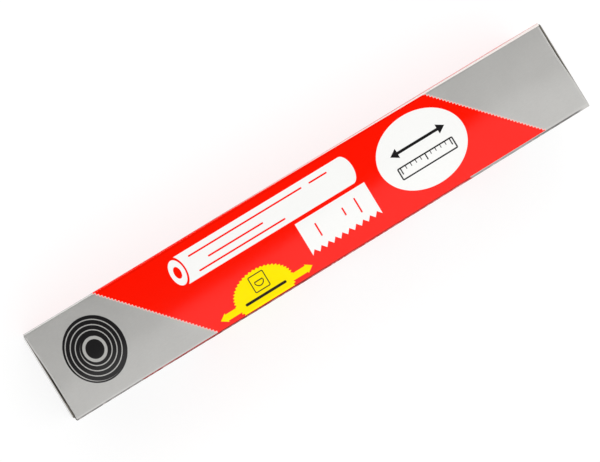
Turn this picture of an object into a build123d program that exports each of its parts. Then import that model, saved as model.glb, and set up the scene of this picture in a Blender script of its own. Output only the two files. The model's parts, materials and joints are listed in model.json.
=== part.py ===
from build123d import *
import os

# Aluminium foil roll in its folded board carton, in millimetres.
# +X runs along the roll, -Y is the front that the user pulls the foil over, +Z is up.
# The origin is on the floor, under the middle of the closed carton.

# The roll
foil_width = 300.0
foil_build = 0.5            # radial build of all the wound turns
foil_ply = 0.1              # thickness drawn for the loose outer turn
foil_fit = 0.05             # between the tube and the first turn
tail_length = 18.0          # loose end of the foil, along its curve
tail_radius = 30.0          # the loose end is flatter than the roll
tail_crevice = 0.05         # slit where the loose end leaves the roll
core_diameter = 40.0        # outside of the card tube
core_wall = 1.5
core_overhang = 1.0         # tube past the foil at each end

# The folded board
board = 0.45
crease_radius = 1.0         # outside of every fold

# Room around the roll
seat_gap = 0.05             # under the roll
roll_play = 6.95            # front to back, in all
head_room = 8.0             # over the roll, under the lid
core_end_clearance = 1.5    # tube end to the lid's ear

# The tray
front_wall_drop = 1.0       # front wall below the lid's underside
end_panel_drop = 0.8        # end panel below the lid's top
end_panel_inset = 0.8       # end panel's sides, in from the tray's corners
end_panel_chamfer = 0.8
dust_flap_foot = 1.3        # dust flap above the floor
dust_flap_drop = 0.05       # dust flap below the front wall's top
dust_flap_chamfer = 5.0
lock_radius = 9.0           # half-round tab that presses into the tube
lock_kerf = 0.35            # die-cut line round the tab
lock_nick = 0.9             # uncut bridges that hold the tab flush
lock_nick_angles = (225, 315)
lock_margin = 1.5           # tab to the dust flaps beside it

# The lid
hinge_straight = 0.2        # flat below the back fold, down to the hinge line
hinge_slit = 0.1            # between the lid and the back wall
hinge_offset = 0.05         # hinge line behind the back face
flap_gap = 0.6              # front flap to front wall, with the cutter between
flap_clear = 12.0           # front flap's lower edge above the floor
flap_corner_radius = 4.0
ear_drop = 14.0             # ear below the lid's top
ear_gap = 0.15              # ear to the dust flap outside it
ear_side_gap = 1.5          # ear to the front and back walls
ear_chamfer = 5.0

# The cutter
cutter_thickness = 0.2
cutter_height = 7.0         # strip above the flap's lower edge
cutter_overrun = 1.0        # strip past the foil at each end
tooth_pitch = 2.0
tooth_height = 1.4
tooth_reach = 1.0           # points below the flap's lower edge

# Along the roll, from the middle to one end
core_half = foil_width / 2 + core_overhang
lid_half = core_half + core_end_clearance + board
dust_inner = lid_half + ear_gap
dust_outer = dust_inner + board
carton_half = dust_outer + board

# Front to back
roll_radius = core_diameter / 2 + foil_fit + foil_build
tray_inside = 2 * roll_radius + roll_play
carton_depth = tray_inside + flap_gap + 3 * board
back_outer = carton_depth / 2
back_inner = back_outer - board
flap_outer = -carton_depth / 2
flap_inner = flap_outer + board
wall_outer = flap_inner + flap_gap
wall_inner = wall_outer + board
tray_middle = (wall_inner + back_inner) / 2

# Floor to top
roll_low = roll_radius - foil_ply / 2
axis_height = board + seat_gap + roll_low
lid_underside = axis_height + roll_radius + head_room
carton_height = lid_underside + board
hinge_height = carton_height - crease_radius - hinge_straight

# Folds are drawn along the middle of the board
half_board = board / 2
fold_radius = crease_radius - half_board
dust_reach = tray_inside / 2 - lock_radius - lock_margin


def folded(plane, points, low, high):
    """A strip of board bent at each inner point, drawn on a plane and run from low to high along its normal."""
    centre_line = FilletPolyline(*points, radius=fold_radius)
    section = plane.offset(low) * trace(centre_line, board)
    return extrude(section, high - low, dir=plane.z_dir)


def short_edges(solid, axis, *places):
    """Edges one board thick along an axis whose middles lie within a board of the given places."""
    near = [e for e in solid.edges().filter_by(axis) if abs(e.length - board) < half_board / 10]
    return ShapeList(e for e in near if any((e.center() - Vector(*p)).length < board for p in places))


def both_ends(piece):
    return piece + mirror(piece, Plane.YZ)


def wall_strip():
    """Front wall, base and back wall: one strip with two folds."""
    front_y = wall_inner - half_board
    back_y = back_outer - half_board
    front_top = lid_underside - front_wall_drop
    back_top = hinge_height - hinge_slit / 2
    points = [(front_y, front_top), (front_y, half_board), (back_y, half_board), (back_y, back_top)]
    half_length = dust_outer - crease_radius
    return folded(Plane.YZ, points, -half_length, half_length)


def end_panel():
    """The base's end flap, folded up and glued over the two dust flaps, with the lock tab die-cut in it."""
    low_y = wall_outer + end_panel_inset
    high_y = back_outer - end_panel_inset
    top = carton_height - end_panel_drop
    end_x = carton_half - half_board
    points = [(dust_outer - 2 * crease_radius, half_board), (end_x, half_board), (end_x, top)]
    panel = folded(Plane.XZ, points, -high_y, -low_y)
    corners = short_edges(panel, Axis.X, (end_x, low_y, top), (end_x, high_y, top))
    panel = chamfer(corners, end_panel_chamfer)
    return panel - lock_cuts()


def lock_cuts():
    """Die-cut line of the lock tab: the lower half of a circle, left whole at the nicks."""
    nick = degrees_of(lock_nick / lock_radius)
    stops = [180, *lock_nick_angles, 360]
    cuts = None
    for start, stop in zip(stops, stops[1:]):
        first = start + (nick / 2 if start in lock_nick_angles else 0)
        last = stop - (nick / 2 if stop in lock_nick_angles else 0)
        line = CenterArc((tray_middle, axis_height), lock_radius, first, last - first)
        cut = extrude(Plane.YZ.offset(dust_outer - board) * trace(line, lock_kerf), 3 * board)
        cuts = cut if cuts is None else cuts + cut
    return cuts


def degrees_of(radians):
    return radians * 180 / 3.141592653589793


def dust_flap(wall_y, inward):
    """A flap folded in from the end of the front or back wall; inward is +1 or -1 along Y."""
    flap_x = dust_outer - half_board
    reach_y = wall_y + inward * (dust_reach + half_board)
    low = dust_flap_foot
    high = lid_underside - front_wall_drop - dust_flap_drop
    points = [(dust_outer - 2 * crease_radius, wall_y), (flap_x, wall_y), (flap_x, reach_y)]
    flap = folded(Plane.XY, points, low, high)
    corners = short_edges(flap, Axis.X, (flap_x, reach_y, low), (flap_x, reach_y, high))
    return chamfer(corners, dust_flap_chamfer)


def carton_tray():
    front_flap = dust_flap(wall_inner - half_board, 1)
    back_flap = dust_flap(back_outer - half_board, -1)
    return wall_strip() + both_ends(end_panel() + front_flap + back_flap)


def lid_ear():
    """The ear folded down from one end of the lid's top, tucked inside the tray's end."""
    low_y = wall_inner + ear_side_gap
    high_y = back_inner - ear_side_gap
    ear_x = lid_half - half_board
    top_z = carton_height - half_board
    low_z = carton_height - ear_drop
    points = [(lid_half - 2 * crease_radius, top_z), (ear_x, top_z), (ear_x, low_z)]
    ear = folded(Plane.XZ, points, -high_y, -low_y)
    corners = short_edges(ear, Axis.X, (ear_x, low_y, low_z), (ear_x, high_y, low_z))
    return chamfer(corners, ear_chamfer)


def carton_lid():
    """Top panel, front flap and two ears, from the hinge line forward."""
    top_z = carton_height - half_board
    back_y = back_outer - half_board
    front_y = flap_outer + half_board
    lip_z = hinge_height + hinge_slit / 2
    points = [(back_y, lip_z), (back_y, top_z), (front_y, top_z), (front_y, flap_clear)]
    sheet = folded(Plane.YZ, points, -lid_half, lid_half)
    low_corners = [(side * lid_half, front_y, flap_clear) for side in (-1, 1)]
    sheet = fillet(short_edges(sheet, Axis.Y, *low_corners), flap_corner_radius)
    ear_width = tray_inside - 2 * ear_side_gap
    ear_room = Pos(lid_half, tray_middle, top_z) * Box(2 * crease_radius, ear_width, 2 * board)
    return sheet - both_ends(ear_room) + both_ends(lid_ear())


def cutter_strip():
    """Thin strip with a row of saw teeth, fixed inside the front flap's lower edge."""
    half_length = foil_width / 2 + cutter_overrun
    top = flap_clear + cutter_height
    point_z = flap_clear - tooth_reach
    root_z = point_z + tooth_height
    count = round(2 * half_length / tooth_pitch)
    pitch = 2 * half_length / count
    points = [(-half_length, top), (-half_length, root_z)]
    for tooth in range(count):
        left = -half_length + tooth * pitch
        points += [(left + pitch / 2, point_z), (left + pitch, root_z)]
    points.append((half_length, top))
    face = make_face(Polyline(*points, close=True))
    return extrude(Plane.XZ.offset(-flap_inner) * face, -cutter_thickness)


def core_tube():
    outer = core_diameter / 2
    ring = Circle(outer) - Circle(outer - core_wall)
    return along_roll(ring, core_half)


def foil_roll():
    """All the turns as one spiral-sided ring, with the loose end lifting off at the top, to the front."""
    top = roll_radius
    under_tail = top - foil_ply
    slit = under_tail - tail_crevice
    tail_centre = under_tail - tail_radius
    tail_angle = degrees_of(tail_length / tail_radius)
    back_turn = half_turn((0, -roll_low), (0, top), 1)
    front_turn = half_turn((0, slit), (0, -roll_low), -1)
    tail_outside = CenterArc((0, tail_centre), tail_radius + foil_ply, 90, tail_angle)
    tail_inside = CenterArc((0, tail_centre), tail_radius, 90, tail_angle)
    tail_edge = Line(tail_outside @ 1, tail_inside @ 1)
    slit_end = Line((0, under_tail), (0, slit))
    outline = [back_turn, tail_outside, tail_edge, tail_inside, slit_end, front_turn]
    bore = core_diameter / 2 + foil_fit
    return along_roll(make_face(outline) - Circle(bore), foil_width / 2)


def half_turn(start, end, side):
    """Half a circle between two points on the Y axis of the sketch; side is +1 for the back, -1 for the front."""
    middle = (start[1] + end[1]) / 2
    radius = abs(start[1] - end[1]) / 2
    return ThreePointArc(start, (side * radius, middle), end)


def along_roll(section, half_length):
    """A section drawn round the roll's axis, run both ways along it."""
    place = Plane(origin=(0, tray_middle, axis_height), x_dir=(0, 1, 0), z_dir=(1, 0, 0))
    return extrude(place * section, half_length, both=True)


pieces = {
    "carton_tray": carton_tray(),
    "carton_lid": carton_lid(),
    "cutter_strip": cutter_strip(),
    "core_tube": core_tube(),
    "foil_roll": foil_roll(),
}

os.makedirs("parts", exist_ok=True)
for name, piece in pieces.items():
    export_step(piece, f"parts/{name}.step")
print("carton", 2 * carton_half, carton_depth, carton_height)
print("hinge line", back_outer + hinge_offset, hinge_height)
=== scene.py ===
import json
import math
from functools import partialmethod
import bmesh
import bpy
from bmesh.types import BMEdge, BMFace, BMVert
from mathutils import Matrix, Vector, noise


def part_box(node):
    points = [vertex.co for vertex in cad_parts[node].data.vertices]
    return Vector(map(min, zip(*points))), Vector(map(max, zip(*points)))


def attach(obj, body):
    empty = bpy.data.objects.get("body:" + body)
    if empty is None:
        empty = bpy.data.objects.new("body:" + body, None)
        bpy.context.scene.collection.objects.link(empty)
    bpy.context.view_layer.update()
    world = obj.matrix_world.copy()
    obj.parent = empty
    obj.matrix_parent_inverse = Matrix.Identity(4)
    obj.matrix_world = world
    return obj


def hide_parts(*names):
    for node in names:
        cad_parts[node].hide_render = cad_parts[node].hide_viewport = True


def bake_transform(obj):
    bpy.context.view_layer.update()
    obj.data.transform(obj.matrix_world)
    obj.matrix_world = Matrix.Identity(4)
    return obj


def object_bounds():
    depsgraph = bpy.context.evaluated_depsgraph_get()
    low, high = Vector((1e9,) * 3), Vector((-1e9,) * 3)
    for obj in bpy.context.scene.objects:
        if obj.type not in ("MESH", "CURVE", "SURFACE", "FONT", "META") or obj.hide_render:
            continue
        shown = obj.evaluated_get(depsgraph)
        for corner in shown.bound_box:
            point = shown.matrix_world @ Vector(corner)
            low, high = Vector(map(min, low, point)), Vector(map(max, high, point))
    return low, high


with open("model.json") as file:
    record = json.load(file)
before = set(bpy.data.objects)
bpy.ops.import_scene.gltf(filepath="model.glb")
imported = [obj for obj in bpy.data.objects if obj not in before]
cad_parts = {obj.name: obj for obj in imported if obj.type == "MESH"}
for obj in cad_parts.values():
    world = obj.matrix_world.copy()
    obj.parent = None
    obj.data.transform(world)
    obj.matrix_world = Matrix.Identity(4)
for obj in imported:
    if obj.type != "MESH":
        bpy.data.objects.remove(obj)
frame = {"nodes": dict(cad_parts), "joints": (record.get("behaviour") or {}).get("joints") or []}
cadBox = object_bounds()
hingeZ = frame["joints"][0]["pos_m"][2]
rollAxis = sum(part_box("core_tube"), Vector()) / 2
scene = bpy.context.scene
mm = 0.001
near = 1e-6              # metres; places closer than this are the same
cutSnap = 1e-7           # metres; a cut this close to a vertex goes through it
xAxis, yAxis, zAxis = Vector((1, 0, 0)), Vector((0, 1, 0)), Vector((0, 0, 1))
print("frame loaded", sorted(frame["nodes"]))


# Node helpers

class Wire:
    # a socket that takes part in sums like a number
    def __init__(self, socket):
        self.socket = socket
        self.tree = socket.id_data

    def do(self, operation, *others, clamp=False):
        inputs = dict(enumerate((self, *others)))
        return wireFrom(self.tree, "Math", inputs, operation=operation, use_clamp=clamp)

    def __rsub__(self, other):
        return self.do("MULTIPLY_ADD", -1, other)

    __add__ = __radd__ = partialmethod(do, "ADD")
    __sub__ = partialmethod(do, "SUBTRACT")
    __mul__ = __rmul__ = partialmethod(do, "MULTIPLY")
    __truediv__ = partialmethod(do, "DIVIDE")
    __neg__ = partialmethod(do, "MULTIPLY", -1)
    __abs__ = partialmethod(do, "ABSOLUTE")
    low = partialmethod(do, "MINIMUM")
    high = partialmethod(do, "MAXIMUM")
    clamped = partialmethod(do, "ADD", 0.0, clamp=True)

    def ramp(self, start, end, low=0.0, high=1.0):
        # smooth step from low to high while this goes from start to end
        inputs = {0: self, 1: start, 2: end, 3: low, 4: high}
        return wireFrom(self.tree, "MapRange", inputs, interpolation_type="SMOOTHSTEP")

    def between(self, first, second):
        return first + self * (second - first)


def plug(value, socket):
    if isinstance(value, Wire):
        value.tree.links.new(value.socket, socket)
    else:
        socket.default_value = value


def node(tree, kind, inputs=None, **settings):
    made = tree.nodes.new("ShaderNode" + kind)
    for key, value in settings.items():
        setattr(made, key, value)
    for key, value in (inputs or {}).items():
        plug(value, made.inputs[key])
    return made


def wireFrom(tree, kind, inputs=None, output=0, **settings):
    return Wire(node(tree, kind, inputs, **settings).outputs[output])


def vectorStep(operation, first, second):
    return wireFrom(first.tree, "VectorMath", {0: first, 1: second}, operation=operation)


def split(vector):
    return [Wire(socket) for socket in node(vector.tree, "SeparateXYZ", {0: vector}).outputs]


def joined(x, y):
    return wireFrom(x.tree, "CombineXYZ", {0: x, 1: y})


def mixed(share, first, second):
    return wireFrom(share.tree, "Mix", {0: share, 6: first, 7: second}, 2, data_type="RGBA")


def shaded(colour, level):
    return wireFrom(level.tree, "HueSaturation", {"Value": level, "Color": colour})


def inMillimetres(tree):
    return vectorStep("MULTIPLY", wireFrom(tree, "TexCoord", output="Object"), [1 / mm] * 3)


def grain(point, scale, detail, rough, stretch=(1, 1, 1)):
    # noise around zero, from about -0.5 to 0.5; scale is in features per millimetre
    laid = vectorStep("MULTIPLY", point, stretch)
    inputs = {"Vector": laid, "Scale": scale, "Detail": detail, "Roughness": rough}
    return wireFrom(point.tree, "TexNoise", inputs) - 0.5


def newGroup(name, build, **inputs):
    # a group that reads a point and other inputs, given with their starting values; build makes its outputs
    tree = bpy.data.node_groups.new(name, "ShaderNodeTree")
    for label, value in {"Point": (0, 0, 0), **inputs}.items():
        kind = "NodeSocketVector" if isinstance(value, tuple) else "NodeSocketFloat"
        tree.interface.new_socket(label, in_out="INPUT", socket_type=kind).default_value = value
    given = tree.nodes.new("NodeGroupInput").outputs
    made = build(*[Wire(given[label]) for label in ("Point", *inputs)])
    for label in made:
        kind = "NodeSocketColor" if label == "Color" else "NodeSocketFloat"
        tree.interface.new_socket(label, in_out="OUTPUT", socket_type=kind)
    result = tree.nodes.new("NodeGroupOutput").inputs
    for label, value in made.items():
        plug(value, result[label])
    return tree


def placed(group, point, **inputs):
    made = node(point.tree, "Group", {"Point": point, **inputs}, node_tree=group)
    return {socket.name: Wire(socket) for socket in made.outputs}


def newMaterial(name, **sockets):
    # sockets are the plain numbers and colours of the shader that don't change over the surface
    material = bpy.data.materials.new(name)
    material.use_nodes = True
    tree = material.node_tree
    tree.nodes.clear()
    shader = node(tree, "BsdfPrincipled", {key.replace("_", " "): value for key, value in sockets.items()})
    plug(Wire(shader.outputs[0]), node(tree, "OutputMaterial").inputs[0])
    return material, tree, shader.inputs


def dress(shader, look, colour, rough, height):
    plug(colour, shader["Base Color"])
    plug(rough, shader["Roughness"])
    inputs = {"Strength": look["bump"], "Distance": look["depth"], "Height": height}
    plug(wireFrom(height.tree, "Bump", inputs), shader["Normal"])


def ink(code):
    # a colour code as it is seen, in Blender's linear light
    levels = [int(code[i:i + 2], 16) / 255 for i in (0, 2, 4)]
    return (*[c / 12.92 if c <= 0.04045 else ((c + 0.055) / 1.055) ** 2.4 for c in levels], 1.0)


# Printed shapes, as distances in millimetres: below zero inside, above zero outside

def saw(along, pitch, depth):
    # a row of teeth, as a height around zero
    return along.do("PINGPONG", pitch / 2) * (2 * depth / pitch) - depth / 2


def barDistance(point, centre, half, corner):
    x, y, _ = split(point)
    cx, cy, _ = split(centre)
    hx, hy, _ = split(half)
    outX = abs(x - cx) - hx + corner
    outY = abs(y - cy) - hy + corner
    outside = outX.high(0) * outX.high(0) + outY.high(0) * outY.high(0)
    return {"Distance": outside.do("SQRT") + outX.high(outY).low(0) - corner}


def ellipseDistance(point, centre, radii):
    # Share is 0 in the middle of the ellipse and 1 on its outline
    scaled = vectorStep("DIVIDE", vectorStep("SUBTRACT", point, centre), radii)
    share = wireFrom(point.tree, "VectorMath", {0: scaled}, "Value", operation="LENGTH")
    rx, ry, _ = split(radii)
    return {"Distance": (share - 1) * rx.low(ry), "Share": share}


def sawDistance(point, start, heading, pitch, depth):
    # a straight edge cut in small teeth, from start along heading; inside is on its left
    x, y, _ = split(vectorStep("SUBTRACT", point, start))
    headX, headY, _ = split(heading)
    return {"Distance": x * headY - y * headX + saw(x * headX + y * headY, pitch, depth)}


barShape = newGroup("printedBar", barDistance, Centre=(0, 0, 0), Half=(1, 1, 0), Round=0.0)
ellipseShape = newGroup("printedEllipse", ellipseDistance, Centre=(0, 0, 0), Radii=(1, 1, 1))
sawEdge = newGroup("printedSawEdge", sawDistance, Start=(0, 0, 0), Heading=(1, 0, 0), Pitch=1.0, Depth=0.0)


class Panel:
    # one long panel to print on: shapes are drawn round a point of it
    def __init__(self, point):
        self.point = point
        self.x, self.y, _ = split(point)

    def bar(self, left, right, low, high, corner=0.0):
        centre = ((left + right) / 2, (low + high) / 2, 0)
        half = ((right - left) / 2, (high - low) / 2, 0)
        return placed(barShape, self.point, Centre=centre, Half=half, Round=corner)["Distance"]

    def stroke(self, left, right, level, thick):
        return self.bar(left, right, level - thick / 2, level + thick / 2, thick / 2)

    def ellipse(self, centre, radii, output="Distance"):
        return placed(ellipseShape, self.point, Centre=(*centre, 0), Radii=(*radii, 1))[output]

    def turns(self, centre, radii):
        # angle round an ellipse, in whole turns
        across, up = (self.x - centre[0]) / radii[0], (self.y - centre[1]) / radii[1]
        return up.do("ARCTAN2", across) / (2 * math.pi)

    def sawLine(self, start, end, pitch, depth):
        heading = (Vector(end) - Vector(start)).normalized()
        places = {"Start": (*start, 0), "Heading": (*heading, 0)}
        return placed(sawEdge, self.point, **places, Pitch=pitch, Depth=depth)["Distance"]

    def arrow(self, tips, level, thick, head, barb):
        # two-headed, along the panel; behind each head it steps down to the shaft, from clear of the barb
        toTip = (self.x - tips[0]).low(tips[1] - self.x)
        shaft = toTip.ramp(head, head + panelArt["headStep"], 4 * barb, thick / 2)
        return (abs(self.y - level) - shaft.low(toTip * (barb / head))).high(-toTip)


inks = {
    "silver": "c3c2bf", "red": "fb1300", "rim": "f6c6bc",
    "white": "f5f5f3", "yellow": "fde400", "dark": "1c1b1c",
}
panelArt = {"height": 50.0, "line": 0.9, "soft": 0.14, "headStep": 0.2}    # soft is the ink's edge


def filled(distance):
    # how far ink covers, from 0 to 1
    return (0.5 - distance / panelArt["soft"]).clamped()


def outlined(distance, thick):
    return abs(distance) - thick / 2


bandArt = {
    # slanted ends, with the red on their left
    "left": ((-114.0, 24.5), (-70.5, -25.0)), "right": ((126.5, -24.0), (81.5, 24.0)),
    "sawPitch": 1.75, "sawDepth": 0.8, "rimWidth": 0.55, "rimCover": 0.75,
}


def bandEnd(panel, end):
    return panel.sawLine(*bandArt[end], bandArt["sawPitch"], bandArt["sawDepth"])


def drawBand(panel, art):
    # the red band, and the pale rim outside its ends
    band = bandEnd(panel, "left").high(bandEnd(panel, "right"))
    return filled(band), filled(outlined(band - art["rimWidth"] / 2, art["rimWidth"]))


rollArt = {
    "box": (-77.5, 30.5, 3.7, 19.2),        # left, right, low, high
    "endShare": 0.55, "boreShare": 0.42,    # the round end's width, and its bore
    # level, from, to
    "gleams": ((0.55, 0.12, 0.74), (0.55, 0.78, 0.88), (-0.1, 0.2, 0.5), (-0.62, 0.13, 0.6)),
}


def drawRoll(panel, art):
    # a white roll seen from its side, with its round end at the left
    left, right, low, high = art["box"]
    middle, tall = (low + high) / 2, (high - low) / 2
    bulge = tall * art["endShare"]
    body = panel.bar(left + bulge, right - bulge, low, high)
    body = body.low(panel.ellipse((right - bulge, middle), (bulge, tall)))
    end = panel.ellipse((left + bulge, middle), (bulge, tall))
    bore = panel.ellipse((left + bulge, middle), (bulge * art["boreShare"], tall * art["boreShare"]))
    white = filled(body.low(end)) * (1 - filled(outlined(end, panelArt["line"]))) * (1 - filled(bore))
    for level, start, stop in art["gleams"]:
        ends = [left + share * (right - left) for share in (start, stop)]
        white = white * (1 - filled(panel.stroke(*ends, middle + level * tall, panelArt["line"])))
    return white


sheetArt = {
    "box": (-10.3, 31.3, -16.6, 1.6), "toothRise": 1.2, "toothPitch": 4.16, "toothDepth": 2.4,
    "creases": ((-1.2, -10.5, -3.0), (14.7, -8.0, -3.5), (22.5, -11.0, -2.5)),    # place, low, high
}


def drawSheet(panel, art):
    # a white sheet under the roll, with creases and a torn lower edge
    left, right, low, high = art["box"]
    half = panelArt["line"] / 2
    torn = low + art["toothRise"] - panel.y + saw(panel.x - left, art["toothPitch"], art["toothDepth"])
    white = filled(panel.bar(left, right, low, high).high(torn))
    for place, start, stop in art["creases"]:
        white = white * (1 - filled(panel.bar(place - half, place + half, start, stop, half)))
    return white


burstArt = {
    "place": ((-40.7, -18.5), (16.5, 11.5)), "teeth": 48, "toothDepth": 0.065,    # depth as a share
    "arrow": ((-67.4, -13.3), -20.4, 3.4, 3.4, 2.3),      # tips, level, thickness, head, barb
    "sign": (4.2, -17.6, -9.2, 0.6), "signLine": 0.54,    # an end panel: half width, low, high, corner
    "tab": (-13.0, 2.4), "tabLine": 0.6,    # its lock tab: level, radius
    "rule": (12.0, -20.3, 1.4),             # half length, level, thickness
}


def drawBurst(panel, art):
    # a toothed yellow burst on an arrow, and the dark sign of a lock tab on it
    (middle, _), radii = art["place"]
    teeth = saw(panel.turns(*art["place"]) * art["teeth"], 1.0, art["toothDepth"])
    burst = (panel.ellipse(*art["place"], "Share") - 1 + teeth) * min(radii)
    half, low, high, corner = art["sign"]
    level, radius = art["tab"]
    tab = outlined(panel.ellipse((middle, level), (radius, radius)), art["signLine"]).high(panel.y - level)
    marks = outlined(panel.bar(middle - half, middle + half, low, high, corner), art["signLine"]).low(tab)
    marks = marks.low(panel.bar(middle - radius, middle + radius, level, level + art["tabLine"]))
    length, *rule = art["rule"]
    marks = marks.low(panel.stroke(middle - length, middle + length, *rule))
    return filled(burst.low(panel.arrow(*art["arrow"]))), marks


ovalArt = {
    "place": ((66.0, 0.65), (25.3, 19.6)), "half": 16.5,    # half the length of the arrow and the ruler
    "arrow": (4.6, 1.5, 4.2, 2.604),                 # level, thickness, head, barb
    "ruler": (-8.6, -2.6, 0.5), "rulerLine": 0.8,    # low, high, corner
    "ticks": ((3.0, 0.44, -4.6), (15.0, 0.68, -6.2)), "tickInset": 0.2,    # pitch, thickness, lower end
}


def drawOval(panel, art):
    # a white oval with a dark width arrow over a ruler
    (middle, up), _ = art["place"]
    left, right = middle - art["half"], middle + art["half"]
    level, *arrow = art["arrow"]
    low, high, corner = art["ruler"]
    ruler = panel.bar(left, right, up + low, up + high, corner)
    marks = panel.arrow((left, right), up + level, *arrow).low(outlined(ruler, art["rulerLine"]))
    for pitch, thick, foot in art["ticks"]:
        tick = (panel.x - middle).do("PINGPONG", pitch / 2) - thick / 2
        marks = marks.low(tick.high(ruler + art["tickInset"]).high(up + foot - panel.y))
    return filled(panel.ellipse(*art["place"])), marks


discArt = {
    "place": ((-127.6, 0.6), (15.6, 17.1)), "turns": 6.5, "coreLine": 1.44, "windingLine": 0.45,
    "core": 0.34, "winding": (0.46, 0.95),    # as shares of the disc
}


def drawDisc(panel, art):
    # a roll's end: a dark disc with a pale winding round a pale core
    _, (radius, _) = art["place"]
    share = panel.ellipse(*art["place"], "Share")
    start, stop = art["winding"]
    core = outlined((share - art["core"]) * radius, art["coreLine"])
    turn = (share * art["turns"] - panel.turns(*art["place"])).do("FRACT") - 0.5
    winding = outlined(turn * (radius / art["turns"]), art["windingLine"])
    winding = winding.high((start - share) * radius).high((share - stop) * radius)
    return panel.ellipse(*art["place"]).high(-core.low(winding))


def drawPanel(point):
    # the whole printed panel: colour, where bare silver ink shows, and where the ink has little gloss
    panel = Panel(point)
    red, rim = drawBand(panel, bandArt)
    white = drawRoll(panel, rollArt).high(drawSheet(panel, sheetArt))
    yellow, burstMarks = drawBurst(panel, burstArt)
    oval, ovalMarks = drawOval(panel, ovalArt)
    dark = filled(burstMarks.low(ovalMarks).low(drawDisc(panel, discArt)))
    colour = mixed(red, ink(inks["silver"]), ink(inks["red"]))
    colour = mixed(rim * bandArt["rimCover"], colour, ink(inks["rim"]))
    silver = 1 - red.high(rim)
    for cover, name in ((white, "white"), (yellow, "yellow"), (oval, "white"), (dark, "dark")):
        colour = mixed(cover, colour, ink(inks[name]))
        silver = silver * (1 - cover)
    return {"Color": colour, "Silver": silver, "Matte": yellow}


panelPrint = newGroup("panelPrint", drawPanel)
print("artwork ready")


# Shared finishes; each noise is features per millimetre, detail, roughness and stretch

fibreLook = {
    # noise, its share of the tone, its share of the height
    "clouds": ((0.06, 4.0, 0.55), 0.6, 0.0),
    "strands": ((1.4, 3.0, 0.6, (0.35, 1.0, 1.0)), 0.7, 0.6),
    "fine": ((4.5, 2.0, 0.5), 0.4, 0.5),
}
fleckLook = {"flecks": (0.9, 2.0, 0.4), "step": (0.17, 0.24)}


def pressedBoard(point):
    # paper fibres, flecks and cloudy tone of pressed board
    tone, height = 0.0, 0.0
    for layer, toneShare, heightShare in fibreLook.values():
        fibre = grain(point, *layer)
        tone = fibre * toneShare + tone
        height = fibre * heightShare + height
    flecks = grain(point, *fleckLook["flecks"]).ramp(*fleckLook["step"])
    return {"Tone": tone, "Height": height, "Flecks": flecks}


scuffLook = {
    "patches": (0.35, 5.0, 0.65), "streaks": (0.9, 4.0, 0.7, (0.25, 1.6, 1.6)),
    "patchShare": 0.9, "streakShare": 0.7, "wornStep": (0.0, 0.45),
}


def handling(point, toFold, reach, amount):
    # wear from handling, at a distance in millimetres to the closest fold or edge
    look = scuffLook
    patches = grain(point, *look["patches"]) * look["patchShare"]
    streaks = grain(point, *look["streaks"]) * look["streakShare"]
    worn = 1 - toFold.ramp(0.0, reach) + patches + streaks - 1 + amount
    return {"Wear": worn.ramp(*look["wornStep"])}


boardFibre = newGroup("boardFibre", pressedBoard)
scuffs = newGroup("scuffs", handling, Near=1.0, Reach=1.0, Amount=0.5)

printLook = {
    "inkTone": 0.05, "silverTone": 0.1, "sparkle": 0.12, "sparkleGrain": (3.2, 2.0, 0.7),
    "silverMetal": 0.66, "silverRough": 0.36, "inkRough": 0.52, "toneRough": 0.08,
    "inkCoat": 0.65, "silverCoat": 0.8, "coatRough": 0.1, "coatIor": 1.5,
    "matteCoat": 0.8,    # the share of gloss that matte ink lacks
    "bareBoard": "efe6e2", "wear": 0.2, "wearReach": 1.3, "wearRough": 0.3, "wearCoat": 0.7,
    "waves": (0.03, 2.0, 0.4), "waveDepth": 0.35, "fibreDepth": 0.02, "bump": 0.6, "depth": mm,
}


def printOver(place):
    # the panel's art and the back panel's red, over silver: colour, bare silver, matte ink
    art = placed(panelPrint, place["artPoint"])
    backRed = filled(bandEnd(Panel(place["backPoint"]), "left"))
    backColour = mixed(backRed, ink(inks["silver"]), ink(inks["red"]))
    colour = mixed(place["art"], ink(inks["silver"]), art["Color"])
    colour = mixed(place["back"], colour, backColour)
    front = 1 - place["art"] + place["art"] * art["Silver"]
    silver = front * (1 - place["back"]) + place["back"] * (1 - backRed)
    return colour, silver, place["art"] * (1 - place["back"]) * art["Matte"]


def printedBoard(name, look, layOut):
    # layOut says where the art, the back's red, the bare margin and the painted shade and highlight are, and
    # how near a fold is
    material, tree, shader = newMaterial(
        name, Coat_Roughness=look["coatRough"], Coat_IOR=look["coatIor"], Specular_IOR_Level=0.0)
    point = inMillimetres(tree)
    place = layOut(point)
    colour, silver, matte = printOver(place)
    fibre = placed(boardFibre, point)
    tone = fibre["Tone"]
    sparkle = grain(point, *look["sparkleGrain"]) * silver * look["sparkle"]
    shade = 1 + tone * (look["inkTone"] + silver * look["silverTone"]) + sparkle
    # the layout's painted shade darkens the colour, and its painted highlight lightens it
    colour = shaded(colour, shade * (1 - place["paintedShading"]))
    wear = placed(scuffs, point, Near=place["near"], Reach=look["wearReach"], Amount=look["wear"])["Wear"]
    worn = wear.high(place["margin"])
    plug(silver * look["silverMetal"] * (1 - worn), shader["Metallic"])
    coat = silver.between(look["inkCoat"], look["silverCoat"])
    plug(coat * (1 - matte * look["matteCoat"]) * (1 - worn * look["wearCoat"]), shader["Coat Weight"])
    rough = silver.between(look["inkRough"], look["silverRough"])
    rough = rough + worn * look["wearRough"] + tone * look["toneRough"]
    height = grain(point, *look["waves"]) * look["waveDepth"] + fibre["Height"] * look["fibreDepth"]
    dress(shader, look, mixed(worn, colour, ink(look["bareBoard"])), rough, height)
    return material


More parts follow.
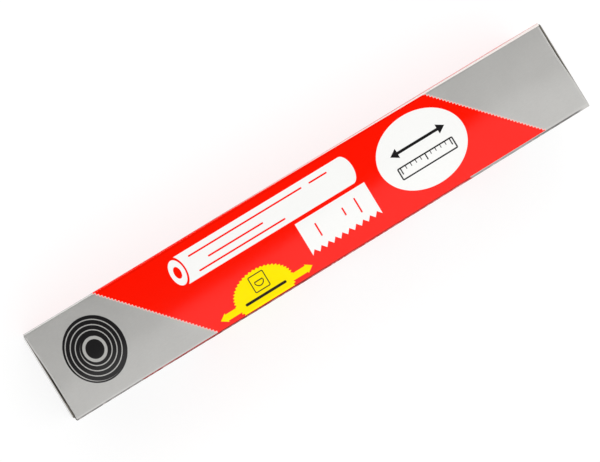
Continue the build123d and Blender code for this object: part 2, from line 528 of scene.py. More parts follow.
lidPrintPlaces = {
    "arcSlack": 0.6,      # a fold takes this much less board than two square sides
    "panelShift": 0.7,    # the front panel's print starts this far before the fold
    # skewed white margin on the back fold, a faint line of painted shade before it, red behind it
    "marginLeft": 25.4, "marginRight": 23.35, "marginEnd": 24.95, "marginSoft": 0.25, "backSoft": 0.2,
    "shadeBack": 23.4, "shadeBackWidth": (0.1, 0.5), "shadeBackDark": 0.12, "shadeBackStart": (-122.0, -108.0),
    # painted shade on the front fold: across it, to its right end, and where it is lighter
    "shadeFront": (24.15, 24.5), "shadeFrontEnd": (25.4, 26.2), "shadeFrontDark": 0.78,
    "shadeFrontStop": (145.0, 151.5), "shadeEaseStart": (-25.0, 0.0), "shadeEaseEnd": (112.0, 126.0), "shadeEase": 0.35,
    "highlightFront": 23.75, "highlightWidth": (0.1, 0.5), "highlightLift": 0.07,    # a line of painted highlight beside the painted shade
    "bowAlong": (-120.0, -15.0), "bow": 0.55, "shadeShift": 0.25,     # wear and the painted shade follow the fold's bow
    "endWear": 0.8,    # the ends wear as if they were this far from an edge
    "earDrop": (0.7, 0.9), "earSides": (23.4, 23.8),    # where the plain ears begin
}


def lidLayOut(point):
    # the panel's art on the top, the same art again on the front flap, plain red over the back fold
    places = lidPrintPlaces
    _, high = [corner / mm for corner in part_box("carton_lid")]
    x, y, z = split(point)
    half = panelArt["height"] / 2
    drop = (high.z - places["arcSlack"] - z).high(0)
    along = y + drop * y.do("SIGN")
    bowed = x.ramp(*places["bowAlong"])

    # painted shade along the front fold, lighter in the middle stretch and gone at the right end
    ahead = -(along + bowed * places["shadeShift"])
    frontShade = ahead.ramp(*places["shadeFront"]) * (1 - ahead.ramp(*places["shadeFrontEnd"]))
    shadeEasing = x.ramp(*places["shadeEaseStart"]) * (1 - x.ramp(*places["shadeEaseEnd"]))
    frontShade = frontShade * (1 - x.ramp(*places["shadeFrontStop"])) * (1 - shadeEasing * places["shadeEase"])
    # painted highlight in a thin line beside the front fold's painted shade
    frontHighlight = 1 - abs(along + places["highlightFront"]).ramp(*places["highlightWidth"])
    # painted shade in a faint line before the back fold, fading out towards the left end
    backShade = 1 - abs(along - places["shadeBack"]).ramp(*places["shadeBackWidth"])
    backShade = backShade * x.ramp(*places["shadeBackStart"])
    # painted shade at both folds, less the painted highlight
    paintedShading = frontShade * places["shadeFrontDark"] + backShade * places["shadeBackDark"]
    paintedShading = paintedShading - frontHighlight * places["highlightLift"]

    share = (x + high.x) / (2 * high.x)
    margin = along - share.between(places["marginLeft"], places["marginRight"])
    margin = margin.ramp(0.0, places["marginSoft"])
    margin = margin * along.ramp(places["marginEnd"], places["marginEnd"] - places["marginSoft"])
    toFold = abs(half + along + bowed * places["bow"])
    toEnd = (cadBox[1].x / mm - abs(x)).high(0) + places["endWear"]
    outsideEar = 1 - drop.ramp(*places["earDrop"]) * (1 - abs(y).ramp(*places["earSides"]))
    panelY = along.do("WRAP", half + places["panelShift"], places["panelShift"] - half)
    return {
        "artPoint": joined(x, panelY),
        "art": outsideEar,
        "backPoint": joined(x, along),
        "back": along.ramp(places["marginEnd"] - places["backSoft"], places["marginEnd"]) * outsideEar,
        "margin": margin * outsideEar,
        "paintedShading": paintedShading * outsideEar,
        "near": toFold.low(toEnd),
    }


trayPrintPlaces = {
    "front": (0.2, 0.6), "back": (0.5, 0.2), "ends": (0.2, 0.1),    # depths over which a face's print fades
    "scoreWidth": (0.08, 0.3), "scoreHalf": (8.5, 8.9), "scoreShadeDark": 0.3,    # painted shade of a pressed line over the lock tab
}


def trayLayOut(point):
    # art on the front wall, plain red on the back, silver on the base and the ends
    places = trayPrintPlaces
    low, high = [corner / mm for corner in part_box("carton_tray")]
    x, y, z = split(point)
    toEdge = abs(high.x - abs(x)).high(abs(y - low.y).low(high.y - y))
    lock = rollAxis / mm
    # painted shade along the pressed line over the lock tab, on the end panels' outer faces only
    scoreShade = (1 - abs(z - lock.z).ramp(*places["scoreWidth"])) * places["scoreShadeDark"]
    scoreShade = scoreShade * (1 - abs(y - lock.y).ramp(*places["scoreHalf"]))
    return {
        "artPoint": joined(x, z - panelArt["height"] / 2 + lidPrintPlaces["arcSlack"]),
        "art": 1 - y.ramp(*[low.y + depth for depth in places["front"]]),
        "backPoint": joined(x, panelArt["height"] * 1.5 - z),    # counted on round the lid's back fold
        "back": y.ramp(*[high.y - depth for depth in places["back"]]),
        "margin": 0.0,
        "paintedShading": scoreShade * abs(x).ramp(*[high.x - depth for depth in places["ends"]]),
        "near": toEdge.low(z),
    }


dullCard = {"IOR": 1.4, "Specular_IOR_Level": 0.25}
greyLook = {
    "tone": "a8a298", "edge": "86817a", "fleck": "6a635a", "toneShare": 0.3, "fleckShare": 0.55,
    "plies": (5.0, 3.0, 0.6, (0.02, 1.0, 1.0)), "plyShare": 0.35,
    "rough": 0.86, "roughShare": 0.12, "bump": 0.5, "depth": 0.06 * mm,
}


def greyBoard(name, look, tone, cut):
    # unprinted duplex board, with its plies where it is cut
    material, tree, shader = newMaterial(name, **dullCard)
    point = inMillimetres(tree)
    fibre = placed(boardFibre, point)
    fibreTone = fibre["Tone"]
    shade = 1 + fibreTone * look["toneShare"]
    if cut:
        shade = shade + grain(point, *look["plies"]) * look["plyShare"]
    colour = shaded(ink(look[tone]), shade)
    colour = mixed(fibre["Flecks"] * look["fleckShare"], colour, ink(look["fleck"]))
    dress(shader, look, colour, look["rough"] + fibreTone * look["roughShare"], fibre["Height"])
    return material


lidPrint = printedBoard("lidPrint", printLook, lidLayOut)
trayPrint = printedBoard("trayPrint", printLook, trayLayOut)
innerBoard = greyBoard("innerBoard", greyLook, "tone", cut=False)
cutBoard = greyBoard("cutBoard", greyLook, "edge", cut=True)
print("board finishes ready")


# Mesh helpers

boardShape = {"thickness": 0.45 * mm, "foldRadius": 1.0 * mm, "foldSteps": 6, "foldRow": 0.6 * mm}


def wholeOf(bm):
    return bm.verts[:] + bm.edges[:] + bm.faces[:]


def ofKind(geom, kind):
    return [g for g in geom if isinstance(g, kind)]


def flatPanel(bm, halfX, lowY, highY, z):
    size = Matrix.Diagonal((halfX, (highY - lowY) / 2, 1, 1))
    place = Matrix.Translation((0, (lowY + highY) / 2, z))
    bmesh.ops.create_grid(bm, x_segments=1, y_segments=1, size=1, matrix=place @ size)


def scoreLines(bm, axis, places):
    # cuts the whole sheet across an axis at each place, without parting it
    for place in places:
        bmesh.ops.bisect_plane(bm, geom=wholeOf(bm), dist=cutSnap, plane_co=axis * place, plane_no=axis)


def steps(low, high, size, margin=boardShape["foldRow"]):
    # even places between low and high, with a close one next to each end
    count = max(1, round((high - low) / size))
    inner = [low + (high - low) * i / count for i in range(1, count)]
    return [low + margin, *inner, high - margin]


def edgesOn(bm, **limits):
    # free edges that lie at a place, or between two, on each named axis
    found = [e for e in bm.edges if e.is_boundary]
    for axis, limit in limits.items():
        low, high = limit if isinstance(limit, tuple) else (limit, limit)
        found = [e for e in found if all(low - near < getattr(v.co, axis) < high + near for v in e.verts)]
    return found


def fold(bm, edges, pivot, axis, degrees, count=boardShape["foldSteps"]):
    turned = bmesh.ops.spin(
        bm, geom=edges, cent=pivot, axis=axis, dvec=(0, 0, 0), angle=math.radians(degrees), steps=count)
    return ofKind(turned["geom_last"], BMEdge)


def pull(bm, edges, offset):
    # extrudes free edges by an offset: the new edges and the new faces
    grown = bmesh.ops.extrude_edge_only(bm, edges=edges)["geom"]
    bmesh.ops.translate(bm, verts=ofKind(grown, BMVert), vec=offset)
    return ofKind(grown, BMEdge), ofKind(grown, BMFace)


def trim(bm, faces, point, normal):
    # cuts a corner off some faces; gives the faces that are left
    parts = dict.fromkeys(part for f in faces if f.is_valid for part in (f, *f.verts, *f.edges))
    cut = bmesh.ops.bisect_plane(
        bm, geom=list(parts), dist=cutSnap, plane_co=point, plane_no=normal.normalized(), clear_outer=True)
    return ofKind(cut["geom"], BMFace)


def tubeSection(bm, low, high, inner, outer):
    # a loop of edges to spin round the roll's axis, between two radii
    corners = ((low.x, inner), (low.x, outer), (high.x, outer), (high.x, inner))
    verts = [bm.verts.new((x, rollAxis.y, rollAxis.z + radius)) for x, radius in corners]
    return [bm.edges.new(pair) for pair in zip(verts, verts[1:] + verts[:1])]


def spinWhole(bm, edges, count):
    bmesh.ops.spin(bm, geom=edges, cent=rollAxis, axis=xAxis, dvec=(0, 0, 0), angle=2 * math.pi, steps=count,
                   use_merge=True)


def newPiece(name, bm, materials):
    mesh = bpy.data.meshes.new(name)
    bm.to_mesh(mesh)
    bm.free()
    for material in materials:
        mesh.materials.append(material)
    piece = bpy.data.objects.new(name, mesh)
    scene.collection.objects.link(piece)
    return piece


def settle(piece, sharpAngle=35):
    # keeps what the modifiers make as the mesh, smooth but for its sharp edges
    graph = bpy.context.evaluated_depsgraph_get()
    final = bpy.data.meshes.new_from_object(piece.evaluated_get(graph))
    piece.modifiers.clear()
    piece.data = final
    final.name = piece.name
    final.shade_smooth()
    final.set_sharp_from_angle(angle=math.radians(sharpAngle))


def boardPiece(name, bm, outside, thickness=boardShape["thickness"]):
    # an outer skin turned into board: print outside, bare inside, cut edges
    piece = newPiece(name, bm, [outside, innerBoard, cutBoard])
    wall = piece.modifiers.new("board", "SOLIDIFY")
    wall.thickness = thickness
    wall.offset = -1
    wall.use_even_offset = True
    wall.material_offset = 1
    wall.material_offset_rim = 2
    settle(piece)
    return piece


def faceOutward(bm, axis, place, sign):
    # all normals one way round, with the panel at a place facing along sign times axis
    slack = 0.1 * mm
    bmesh.ops.recalc_face_normals(bm, faces=bm.faces[:])
    panel = [f for f in bm.faces if abs(f.calc_center_median().dot(axis) - place) < slack]
    if sum(f.normal.dot(axis) * f.calc_area() for f in panel) * sign < 0:
        bmesh.ops.reverse_faces(bm, faces=bm.faces[:])


def eased(value, start, end):
    # smooth step from 0 to 1 while a number goes from start to end
    share = max(0.0, min(1.0, (value - start) / (end - start)))
    return share * share * (3 - 2 * share)


def pastBend(ahead, soft):
    # how far a place lies past a bend that is softened this far to both sides
    if ahead < -soft:
        return 0.0
    return (ahead + soft) ** 2 / (4 * soft) if ahead < soft else ahead


# The lid

lidShape = {
    "cell": 6.0 * mm, "flapRows": (0.02, 0.25, 0.25, 0.24, 0.24), "flapCorner": 4.0 * mm, "cornerSteps": 7,
    "earFront": -22.0 * mm, "earBack": 23.05 * mm, "earDrop": 14.0 * mm, "earChamfer": 5.0 * mm,
    # the handled top panel: a slanting soft bend and waves, neither at the back fold
    "bendMiddle": -3.0 * mm, "bendSlope": 0.035, "bendTilt": 0.022, "bendSoft": 3.0 * mm,
    "waveHeight": 0.12 * mm, "waveScale": 16.0, "calmBack": 8.0 * mm,
    # the skewed lid reaches past its ears, at the left to the back and at the right to the front
    "overhang": 0.95 * mm, "overhangLift": 0.28,
    "overhangLeft": (-5.0 * mm, 24.0 * mm), "overhangRight": (8.0 * mm, -16.0 * mm),    # starts and is full
    "overhangRoot": 130.0 * mm, "overhangLow": 48.6 * mm, "overhangHigh": 49.5 * mm,
    # the front fold bows out, less to the left
    "bow": 0.55 * mm, "bowAlong": (-120.0 * mm, -15.0 * mm),
    "bowUp": (22.0 * mm, 42.0 * mm), "bowIn": (-19.0 * mm, -24.0 * mm),
}


def makeLid(shape):
    low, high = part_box("carton_lid")
    board, radius = boardShape["thickness"], boardShape["foldRadius"]
    frontY, backY, foldZ, earX = low.y + radius, high.y - radius, high.z - radius, high.x - radius
    earFront, earBack = shape["earFront"], shape["earBack"]
    bm = bmesh.new()
    flatPanel(bm, high.x, frontY, backY, high.z)
    scoreLines(bm, xAxis, [-earX, earX, *steps(-earX, earX, shape["cell"] * 2)])
    scoreLines(bm, yAxis, [earFront, earBack, *steps(frontY, backY, shape["cell"])])
    middles = {f: f.calc_center_median() for f in bm.faces}
    inEar = [f for f, at in middles.items() if abs(at.x) > earX and earFront < at.y < earBack]
    bmesh.ops.delete(bm, geom=inEar, context="FACES")

    # front fold and flap
    edges = fold(bm, edgesOn(bm, y=frontY), (0, frontY, foldZ), xAxis, 90)
    flap = []
    for share in shape["flapRows"]:
        edges, faces = pull(bm, edges, -zAxis * (foldZ - low.z) * share)
        flap += faces
    corner = shape["flapCorner"]
    for side in (-1, 1):
        centre = Vector((side * (high.x - corner), low.y, low.z + corner))
        for i in range(shape["cornerSteps"]):
            angle = math.radians(90 * (i + 0.5) / shape["cornerSteps"])
            outward = Vector((side * math.sin(angle), 0, -math.cos(angle)))
            flap = trim(bm, flap, centre + outward * corner, outward)

    # back fold down to the hinge line
    edges = fold(bm, edgesOn(bm, y=backY), (0, backY, foldZ), xAxis, -90)
    pull(bm, edges, -zAxis * (foldZ - hingeZ))

    # ears, tucked down inside the tray's ends
    for side in (-1, 1):
        ends = edgesOn(bm, x=side * earX, y=(earFront, earBack))
        edges = fold(bm, ends, (side * earX, 0, foldZ), yAxis, side * 90)
        edges, _ = pull(bm, edges, -zAxis * (foldZ - shape["overhangLow"]))
        _, ear = pull(bm, edges, -zAxis * (shape["overhangLow"] - high.z + shape["earDrop"]))
        for place, way in ((earFront, -1), (earBack, 1)):
            tip = Vector((side * high.x, place, high.z - shape["earDrop"] + shape["earChamfer"]))
            ear = trim(bm, ear, tip, Vector((0, way, -1)))

    # bend, waves, skew and bow from handling
    for v in bm.verts:
        bendY = shape["bendMiddle"] + shape["bendSlope"] * v.co.x
        bend = pastBend(bendY - max(v.co.y, frontY), shape["bendSoft"])
        wave = noise.noise(Vector((v.co.x, v.co.y, 0)) * shape["waveScale"]) * shape["waveHeight"]
        free = max(0.0, min(1.0, (backY - v.co.y) / shape["calmBack"]))
        reach = shape["overhang"] * eased(v.co.y, *shape["overhangRight" if v.co.x > 0 else "overhangLeft"])
        reach *= eased(abs(v.co.x), shape["overhangRoot"], earX)
        if v.co.y > low.y + board:
            reach *= eased(v.co.z, shape["overhangLow"], shape["overhangHigh"])
        if v.co.y < frontY + near or v.co.z > foldZ:
            bowed = eased(v.co.x, *shape["bowAlong"]) * eased(v.co.z, *shape["bowUp"])
            v.co.y -= shape["bow"] * bowed * eased(v.co.y, *shape["bowIn"])
        v.co.x += math.copysign(reach, v.co.x)
        v.co.z += (wave - bend * shape["bendTilt"]) * free + reach * shape["overhangLift"]
    faceOutward(bm, yAxis, low.y, -1)
    return boardPiece("lidBoard", bm, lidPrint)


lidBoard = makeLid(lidShape)
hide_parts("carton_lid")
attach(lidBoard, "lid")
print("lid folded", len(lidBoard.data.polygons), "faces")


# The tray

trayShape = {
    "cell": 8.0 * mm, "frontTop": 48.55 * mm, "backTop": 48.75 * mm, "endChamfer": 0.8 * mm,
    "dustFoot": 1.3 * mm, "dustTop": 48.5 * mm, "dustReach": 13.5 * mm, "dustChamfer": 5.0 * mm,
    "dustRow": 1.0 * mm,
    "lockRadius": 9.0 * mm, "lockKerf": 0.35 * mm, "lockSteps": 10,
    "lockNick": 0.9 * mm, "lockNicks": (225, 315),
    # the walls' waves, none at the ends and the foot, and the back wall's bulge
    "waveHeight": 0.1 * mm, "waveScale": 14.0, "waveSeed": 5.0, "waveRise": 4.0,
    "calmEnd": 2.0 * mm, "calmFoot": 4.0 * mm,
    "bulge": 0.8 * mm, "bulgeLeft": (-60.0 * mm, 90.0 * mm), "bulgeRight": (152.0 * mm, 144.0 * mm),
}


def makeTray(shape):
    low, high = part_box("carton_tray")
    board, radius = boardShape["thickness"], boardShape["foldRadius"]
    dustFoot, dustTop = shape["dustFoot"], shape["dustTop"]
    wallX, frontY, backY = high.x - board - radius, low.y + radius, high.y - radius
    foldZ, endX = low.z + radius, high.x - radius
    bm = bmesh.new()
    flatPanel(bm, wallX, frontY, backY, low.z)
    scoreLines(bm, xAxis, steps(-wallX, wallX, shape["cell"] * 2))
    scoreLines(bm, yAxis, steps(frontY, backY, shape["cell"]))

    # front and back walls, and the dust flaps at their ends
    dustRows = [dustFoot, *steps(dustFoot, dustTop, shape["cell"], shape["dustRow"]), dustTop]
    walls = ((low.y, frontY, shape["frontTop"], -1), (high.y, backY, shape["backTop"], 1))
    for wallY, pivotY, top, way in walls:
        edges = fold(bm, edgesOn(bm, y=pivotY), (0, pivotY, foldZ), xAxis, way * 90)
        below = foldZ
        for level in (*dustRows, top):
            edges, _ = pull(bm, edges, zAxis * (level - below))
            below = level
        for side in (-1, 1):
            ends = edgesOn(bm, x=side * wallX, y=wallY, z=(dustFoot, dustTop))
            tucked = fold(bm, ends, (side * wallX, pivotY, 0), zAxis, -side * way * 90)
            _, flap = pull(bm, tucked, yAxis * (-way * (shape["dustReach"] + board - radius)))
            tipY = wallY - way * (shape["dustReach"] + board - shape["dustChamfer"])
            for level, sense in ((dustFoot, -1), (dustTop, 1)):
                place = Vector((side * high.x, tipY, level))
                flap = trim(bm, flap, place, Vector((0, -way, sense)))

    # end panels, with the lock tab cut in them
    for side in (-1, 1):
        edges = edgesOn(bm, x=side * wallX, z=low.z)
        edges, _ = pull(bm, edges, xAxis * (side * (endX - wallX)))
        edges = fold(bm, edges, (side * endX, 0, foldZ), yAxis, -side * 90)
        _, panel = pull(bm, edges, zAxis * (high.z - foldZ))
        for tipY, way in ((frontY, -1), (backY, 1)):
            place = Vector((side * high.x, tipY - way * shape["endChamfer"], high.z))
            panel = trim(bm, panel, place, Vector((0, way, 1)))
        cutLockTab(bm, panel, shape, Vector((side * high.x, *rollAxis.yz)))

    # waves in the walls, and the back wall's bulge
    for v in bm.verts:
        inside = max(0.0, 1 - abs(v.co.x) / (wallX - shape["calmEnd"]))
        spot = Vector((v.co.x, v.co.z + v.co.y, shape["waveSeed"]))
        wave = noise.noise(spot * shape["waveScale"]) * shape["waveHeight"]
        if v.co.z > shape["calmFoot"]:
            v.co.y += wave * min(1.0, shape["waveRise"] * inside)
        if v.co.y > backY + board:
            swell = eased(v.co.x, *shape["bulgeLeft"]) * eased(v.co.x, *shape["bulgeRight"])
            v.co.y += shape["bulge"] * swell * math.sin(math.pi * min(1.0, v.co.z / shape["backTop"]))
    faceOutward(bm, zAxis, low.z, -1)
    return boardPiece("trayBoard", bm, trayPrint)


def cutLockTab(bm, panel, shape, middle):
    # fills the end panel again, around the thin slits of a half-round tab held by nicks
    rim = [e for f in panel for e in f.edges if sum(n in panel for n in e.link_faces) == 1]
    bmesh.ops.delete(bm, geom=panel, context="FACES_KEEP_BOUNDARY")
    nick = math.degrees(shape["lockNick"] / shape["lockRadius"])
    stops = [180 - nick / 2, *shape["lockNicks"], 360 + nick / 2]
    outline = [e for e in rim if e.is_valid]
    for start, stop in zip(stops, stops[1:]):
        first, last = math.radians(start + nick / 2), math.radians(stop - nick / 2)
        outward = Vector((0, math.cos(first), math.sin(first)))
        reaches = [shape["lockRadius"] + sense * shape["lockKerf"] / 2 for sense in (-1, 1)]
        edge = bm.edges.new([bm.verts.new(middle + reach * outward) for reach in reaches])
        before = set(bm.faces)
        bmesh.ops.spin(bm, geom=[edge], cent=middle, axis=xAxis, dvec=(0, 0, 0), angle=last - first,
                       steps=shape["lockSteps"])
        slit = [f for f in bm.faces if f not in before]
        border = [e for f in slit for e in f.edges if e.is_boundary]
        bmesh.ops.delete(bm, geom=slit, context="FACES_KEEP_BOUNDARY")
        outline += [e for e in border if e.is_valid]
    bmesh.ops.triangle_fill(bm, use_beauty=True, use_dissolve=False, edges=outline, normal=xAxis)


trayBoard = makeTray(trayShape)
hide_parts("carton_tray")
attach(trayBoard, "tray")
print("tray folded", len(trayBoard.data.polygons), "faces")


# The crease between the back wall and the lid

creaseShape = {"overlap": 0.04 * mm, "inset": 0.02 * mm, "rows": 8, "cell": 12.0 * mm, "endRow": 1.0 * mm}


def makeCrease(shape):
    _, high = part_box("carton_tray")
    wallX = high.x - boardShape["thickness"] - boardShape["foldRadius"]
    start, end = trayShape["backTop"], hingeZ
    faceY, thickness = high.y - shape["inset"], boardShape["thickness"] - 2 * shape["inset"]
    bm = bmesh.new()
    ends = [bm.verts.new((x, faceY, start - shape["overlap"])) for x in (-wallX, wallX)]
    edges = [bm.edges.new(ends)]
    tall = end - start + 2 * shape["overlap"]
    for row in range(shape["rows"]):
        edges, _ = pull(bm, edges, zAxis * tall / shape["rows"])
    scoreLines(bm, xAxis, steps(-wallX, wallX, shape["cell"], shape["endRow"]))
    faceOutward(bm, yAxis, faceY, 1)
    piece = boardPiece("hingeCrease", bm, trayPrint, thickness)
    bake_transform(piece)
    return piece


hingeCrease = makeCrease(creaseShape)
print("crease made", len(hingeCrease.data.polygons), "faces")


# The foil and its tube

foilLook = {
    "tone": "dcdddf", "anisotropic": 0.35, "rough": 0.24,
    "streaks": (1.3, 4.0, 0.6, (1.0, 0.03, 0.03)), "dents": (0.16, 4.0, 0.55, (1.0, 1.8, 1.8)),
    "wrinkles": (0.5, 3.0, 0.6, (0.22, 1.5, 1.5)),
    "streakTone": 0.1, "dentTone": 0.06, "streakRough": 0.14, "wrinkleRough": 0.12,
    "dentHeight": 0.8, "wrinkleHeight": 0.35, "streakHeight": 0.05, "bump": 0.5, "depth": 0.4 * mm,
}


def foilFinish(look):
    # bright rolled foil: streaks round the roll, small dents and cross wrinkles
    material, tree, shader = newMaterial("brightFoil", Metallic=1.0, Anisotropic=look["anisotropic"])
    point = inMillimetres(tree)
    streaks, dents, wrinkles = [grain(point, *look[key]) for key in ("streaks", "dents", "wrinkles")]
    shade = 1 + streaks * look["streakTone"] + dents * look["dentTone"]
    rough = look["rough"] + streaks * look["streakRough"] + abs(wrinkles) * look["wrinkleRough"]
    height = dents * look["dentHeight"] + wrinkles * look["wrinkleHeight"] + streaks * look["streakHeight"]
    dress(shader, look, shaded(ink(look["tone"]), shade), rough, height)
    return material


foilShape = {
    "segments": 300, "turnSteps": 40, "tailSteps": 14, "sheet": 0.06 * mm, "ply": 0.1 * mm, "slit": 0.05 * mm,
    "tailLength": 18.0 * mm, "tailRadius": 30.0 * mm, "toothPitch": 2, "toothDepth": 0.7 * mm,
    "dent": 0.05 * mm, "tailDent": 0.55 * mm, "dentsAlong": 60.0, "dentsRound": 5.0,
    "dentShare": 0.5, "fineShare": 0.25, "fine": 2.7, "inward": 0.5,    # wound foil is only dented inward
    "tubeGap": 0.02 * mm, "turnGap": 0.1 * mm, "sharpAngle": 50,        # inside and outside the inner turns
}


def dentFoil(bm, shape, top, wound):
    # dents in the outer turn, deeper towards the end of the loose part
    for v in bm.verts:
        radial = (v.co - Vector((v.co.x, *rollAxis.yz))).normalized()
        spot = Vector((v.co.x * shape["dentsAlong"], *(radial.yz * shape["dentsRound"])))
        dent = noise.noise(spot) * shape["dentShare"] + noise.noise(spot * shape["fine"]) * shape["fineShare"]
        if v in wound:
            v.co += radial * (dent - shape["inward"]) * shape["dent"]
        else:
            away = (v.co - Vector((v.co.x, rollAxis.y, rollAxis.z + top))).length
            leave = min(1.0, away / shape["tailLength"])
            v.co += radial * dent * (shape["dent"] + shape["tailDent"] * leave * leave)


def makeFoil(shape):
    low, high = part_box("foil_roll")
    middle = rollAxis
    top, bottom = high.z - middle.z, middle.z - low.z
    under = top - shape["ply"] - shape["slit"]
    bm = bmesh.new()
    edge = bm.edges.new([bm.verts.new((x, middle.y, middle.z + under)) for x in (low.x, high.x)])
    bmesh.ops.subdivide_edges(bm, edges=[edge], cuts=shape["segments"] - 1)

    # one turn in two half circles, then the loose end on a flatter arc, torn in teeth
    tail = math.degrees(shape["tailLength"] / shape["tailRadius"])
    frontMiddle = Vector((0, middle.y, middle.z + (under - bottom) / 2))
    backMiddle = Vector((0, middle.y, middle.z + (top - bottom) / 2))
    tailMiddle = Vector((0, middle.y, middle.z + top - shape["ply"] - shape["tailRadius"]))
    row = fold(bm, bm.edges[:], frontMiddle, xAxis, 180, shape["turnSteps"])
    row = fold(bm, row, backMiddle, xAxis, 180, shape["turnSteps"])
    wound = set(bm.verts)
    row = fold(bm, row, tailMiddle, xAxis, tail, shape["tailSteps"])
    lastRow = {v for e in row for v in e.verts}
    dentFoil(bm, shape, top, wound)
    for v in lastRow:
        tooth = round(v.co.x / mm) % shape["toothPitch"] - 0.5
        radial = (v.co - Vector((v.co.x, *tailMiddle.yz))).normalized()
        v.co += xAxis.cross(radial) * tooth * shape["toothDepth"]
    bmesh.ops.recalc_face_normals(bm, faces=bm.faces[:])
    if sum((f.calc_center_median() - middle).dot(f.normal) for f in bm.faces) < 0:
        bmesh.ops.reverse_faces(bm, faces=bm.faces[:])
    bmesh.ops.solidify(bm, geom=bm.faces[:], thickness=shape["sheet"])

    # the turns under it
    before = set(bm.faces)
    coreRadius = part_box("core_tube")[1].z - middle.z
    section = tubeSection(bm, low, high, coreRadius + shape["tubeGap"], under - shape["turnGap"])
    spinWhole(bm, section, shape["turnSteps"] * 2)
    bmesh.ops.recalc_face_normals(bm, faces=[f for f in bm.faces if f not in before])
    piece = newPiece("foilRoll", bm, [foilFinish(foilLook)])
    settle(piece, shape["sharpAngle"])
    return piece


foilRoll = makeFoil(foilShape)
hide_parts("foil_roll")
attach(foilRoll, "tray")
print("foil wound", len(foilRoll.data.polygons), "faces")

tubeShape = {"wall": 1.5 * mm, "rounding": 0.25 * mm, "roundingSteps": 3, "turnSteps": 96}
tubeLook = {
    "tone": "a98a63", "dark": "8a6d4a", "seam": "6f5538",
    "darkShare": 0.4, "fleckShare": 0.4, "seamShare": 0.8,
    "lay": 62.0, "seamWidth": 0.012,    # strip along the tube, seam as a share of it
    "rough": 0.84, "roughShare": 0.15, "fibreHeight": 0.3, "bump": 0.6, "depth": 0.2 * mm,
}


def tubeFinish(look):
    # spiral wound card: strips laid round the tube with a seam between them
    material, tree, shader = newMaterial("spiralCard", **dullCard)
    axis = rollAxis / mm
    point = inMillimetres(tree)
    x, y, z = split(point)
    turn = (z - axis.z).do("ARCTAN2", y - axis.y) / (2 * math.pi)
    strip = abs((x / look["lay"] + turn).do("FRACT") - 0.5)
    seam = strip.ramp(0.5 - look["seamWidth"], 0.5 - look["seamWidth"] / 3)
    fibre = placed(boardFibre, point)
    tone = fibre["Tone"]
    colour = mixed((tone + look["darkShare"]).clamped(), ink(look["tone"]), ink(look["dark"]))
    for share in (fibre["Flecks"] * look["fleckShare"], seam * look["seamShare"]):
        colour = mixed(share, colour, ink(look["seam"]))
    height = fibre["Height"] * look["fibreHeight"] - seam
    dress(shader, look, colour, look["rough"] + tone * look["roughShare"], height)
    return material


def makeTube(shape):
    low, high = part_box("core_tube")
    radius = high.z - rollAxis.z
    bm = bmesh.new()
    tubeSection(bm, low, high, radius - shape["wall"], radius)
    bmesh.ops.bevel(bm, geom=bm.verts[:], offset=shape["rounding"], segments=shape["roundingSteps"],
                    profile=0.5, affect="VERTICES", material=-1)
    spinWhole(bm, bm.edges[:], shape["turnSteps"])
    bmesh.ops.recalc_face_normals(bm, faces=bm.faces[:])
    piece = newPiece("coreTube", bm, [tubeFinish(tubeLook)])
    settle(piece)
    return piece


coreTube = makeTube(tubeShape)
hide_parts("core_tube")
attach(coreTube, "tray")
print("tube made", len(coreTube.data.polygons), "faces")


# The cutter keeps its CAD shape

cutterLook = {
    "tone": "b9bab8", "brush": (6.0, 3.0, 0.6, (0.03, 1.0, 1.0)), "brushTone": 0.2,
    "smear": "8d8b86", "smears": (0.12, 4.0, 0.6), "smearStep": (0.02, 0.3),
    "rough": 0.32, "brushRough": 0.2, "smearRough": 0.25, "bump": 0.3, "depth": 0.03 * mm,
}


def cutterFinish(look):
    # tinplate strip, brushed along its length, duller where it has been handled
    material, tree, shader = newMaterial("cutterSteel", Metallic=1.0)
    point = inMillimetres(tree)
    brush, smears = grain(point, *look["brush"]), grain(point, *look["smears"])
    colour = shaded(ink(look["tone"]), 1 + brush * look["brushTone"])
    colour = mixed(smears.ramp(*look["smearStep"]), colour, ink(look["smear"]))
    rough = look["rough"] + brush * look["brushRough"] + smears * look["smearRough"]
    dress(shader, look, colour, rough, brush)
    return material


for slot in frame["nodes"]["cutter_strip"].material_slots:
    slot.material = cutterFinish(cutterLook)
print("cutter finished")


# Floor, light and camera

stageLook = {
    "floor": "8f8f8f", "floorRough": 0.9, "floorSize": 12.0, "floorGap": 0.05 * mm, "lift": 0.76,
    "horizon": 0.97, "zenith": 0.02, "zenithStep": (0.8, 0.96),
}


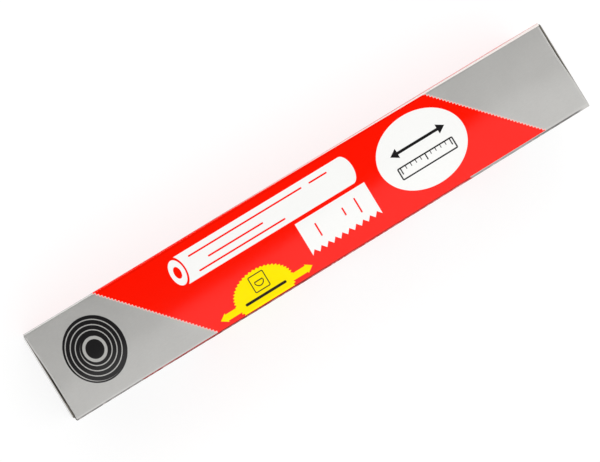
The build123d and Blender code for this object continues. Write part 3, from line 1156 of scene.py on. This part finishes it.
def makeFloor(look):
    bm = bmesh.new()
    bmesh.ops.create_grid(bm, x_segments=1, y_segments=1, size=look["floorSize"])
    bmesh.ops.translate(bm, verts=bm.verts[:], vec=(0, 0, cadBox[0].z - look["floorGap"]))
    material, tree, shader = newMaterial(
        "paleFloor", Base_Color=ink(look["floor"]), Roughness=look["floorRough"], Specular_IOR_Level=0.0,
        Emission_Color=(1, 1, 1, 1))
    seen = node(tree, "LightPath").outputs
    camera, glossy, through = [Wire(seen[f"Is {ray} Ray"]) for ray in ("Camera", "Glossy", "Transmission")]
    plug(camera.high(glossy).high(through) * look["lift"], shader["Emission Strength"])
    floor = newPiece("floor", bm, [material])


def makeWorld(look):
    world = bpy.data.worlds.new("studio")
    scene.world = world
    world.use_nodes = True
    tree = world.node_tree
    tree.nodes.clear()
    _, _, up = split(wireFrom(tree, "TexCoord", output="Generated"))
    level = up.ramp(*look["zenithStep"], look["horizon"], look["zenith"])
    sky = wireFrom(tree, "Background", {"Color": (1, 1, 1, 1), "Strength": level})
    plug(sky, node(tree, "OutputWorld").inputs[0])


lamps = {
    # place, aimed at, width, height, brightness of its face
    "frontBox": ((0.25, -0.49, 1.3), (0.25, -0.49, 0.0), 1.8, 0.9, 1.1),
    "backBox": ((0.5, 1.3, 1.0), (0.0, 0.0, 0.0), 1.4, 1.0, 1.4),
}


def makeLamps(rows):
    for name, (place, target, width, height, brightness) in rows.items():
        data = bpy.data.lights.new(name, "AREA")
        data.shape = "RECTANGLE"
        data.size, data.size_y = width, height
        data.energy = brightness * math.pi * width * height
        lamp = bpy.data.objects.new(name, data)
        lamp.location = place
        lamp.rotation_euler = (Vector(target) - Vector(place)).to_track_quat("-Z", "Y").to_euler()
        scene.collection.objects.link(lamp)


cameraPlace = {
    "location": (-0.1674, 0.0, 1.0), "turn": (4.82, -8.11, -31.8),
    "focal": 1918.8, "imageWidth": 600.0, "sensor": 36.0,    # focal length in pixels of the image
}


def makeCamera(place):
    data = bpy.data.cameras.new("camera")
    data.sensor_fit = "HORIZONTAL"
    data.sensor_width = place["sensor"]
    data.lens = place["focal"] / place["imageWidth"] * place["sensor"]
    camera = bpy.data.objects.new("camera", data)
    camera.location = place["location"]
    camera.rotation_euler = [math.radians(a) for a in place["turn"]]
    scene.collection.objects.link(camera)
    scene.camera = camera


makeFloor(stageLook)
makeWorld(stageLook)
makeLamps(lamps)
makeCamera(cameraPlace)
scene.view_settings.view_transform = "Standard"
print("stage set")
